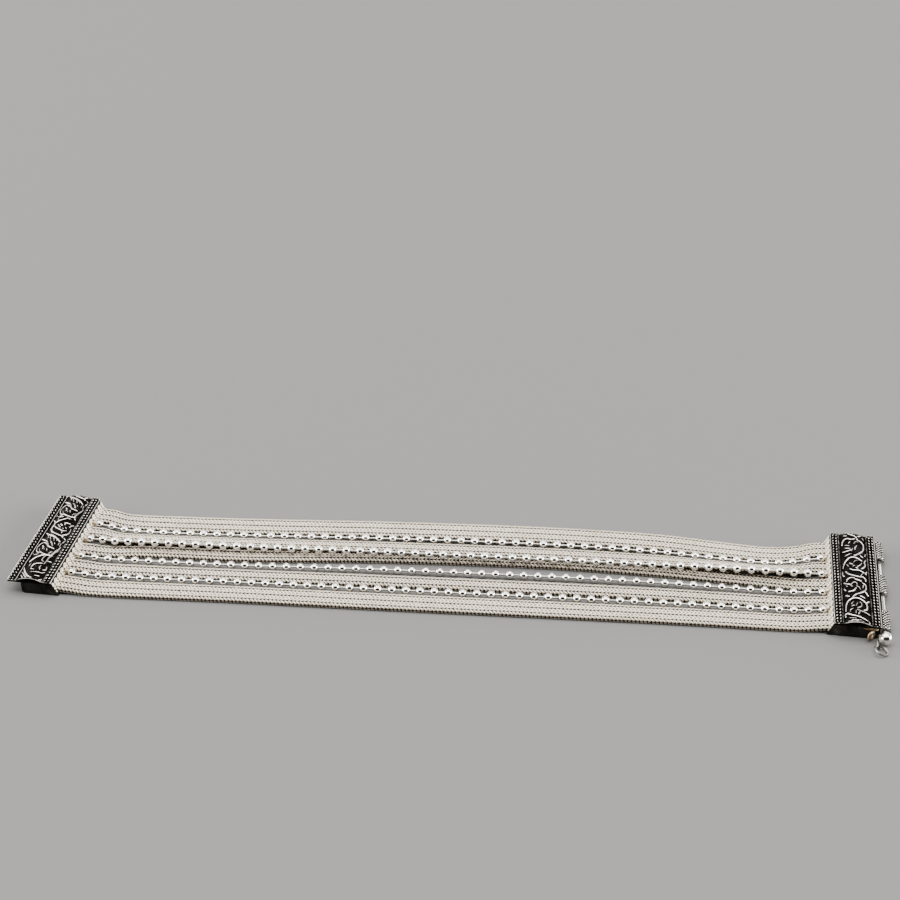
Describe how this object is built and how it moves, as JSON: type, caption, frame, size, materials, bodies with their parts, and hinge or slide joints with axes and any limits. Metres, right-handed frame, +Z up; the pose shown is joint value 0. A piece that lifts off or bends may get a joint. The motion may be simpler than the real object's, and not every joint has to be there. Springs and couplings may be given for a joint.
{
  "type": "bracelet",
  "caption": "Woven silver wire straps with rows of polished balls between two ornamented end caps, unfastened, with a pin clasp.",
  "frame": {"origin": "middle of the outline, on the surface that the bracelet rests on", "axes": "+X along the band towards the cap that holds the pin, +Y across the band away from the pin's ball, +Z up"},
  "size_m": [0.1908, 0.0408, 0.0042],
  "materials": {
    "oxidised_silver": "silver, oxidised black in the hollows, worn bright on the raised lines",
    "woven_silver": "satin silver wire",
    "polished_silver": "polished silver",
    "clasp_silver": "polished silver, a little tarnished"
  },
  "bodies": {
    "bracelet": {"left_cap": "oxidised_silver", "right_cap": "oxidised_silver", "weave_strip_1": "woven_silver", "weave_strip_2": "woven_silver", "weave_strip_3": "woven_silver", "weave_strip_4": "woven_silver", "weave_strip_5": "woven_silver", "bead_row_1": "polished_silver", "bead_row_2": "polished_silver", "bead_row_3": "polished_silver", "bead_row_4": "polished_silver", "bead_wire_1": "polished_silver", "bead_wire_2": "polished_silver", "bead_wire_3": "polished_silver", "bead_wire_4": "polished_silver"},
    "pin": {"clasp_pin": "clasp_silver", "pull_ring": "clasp_silver"}
  },
  "joints": [
    {"name": "pin_slide", "type": "slide", "parent": "bracelet", "child": "pin", "axis": [-0.0698, -0.9976, 0], "range_m": [0, 0.03]}
  ]
}
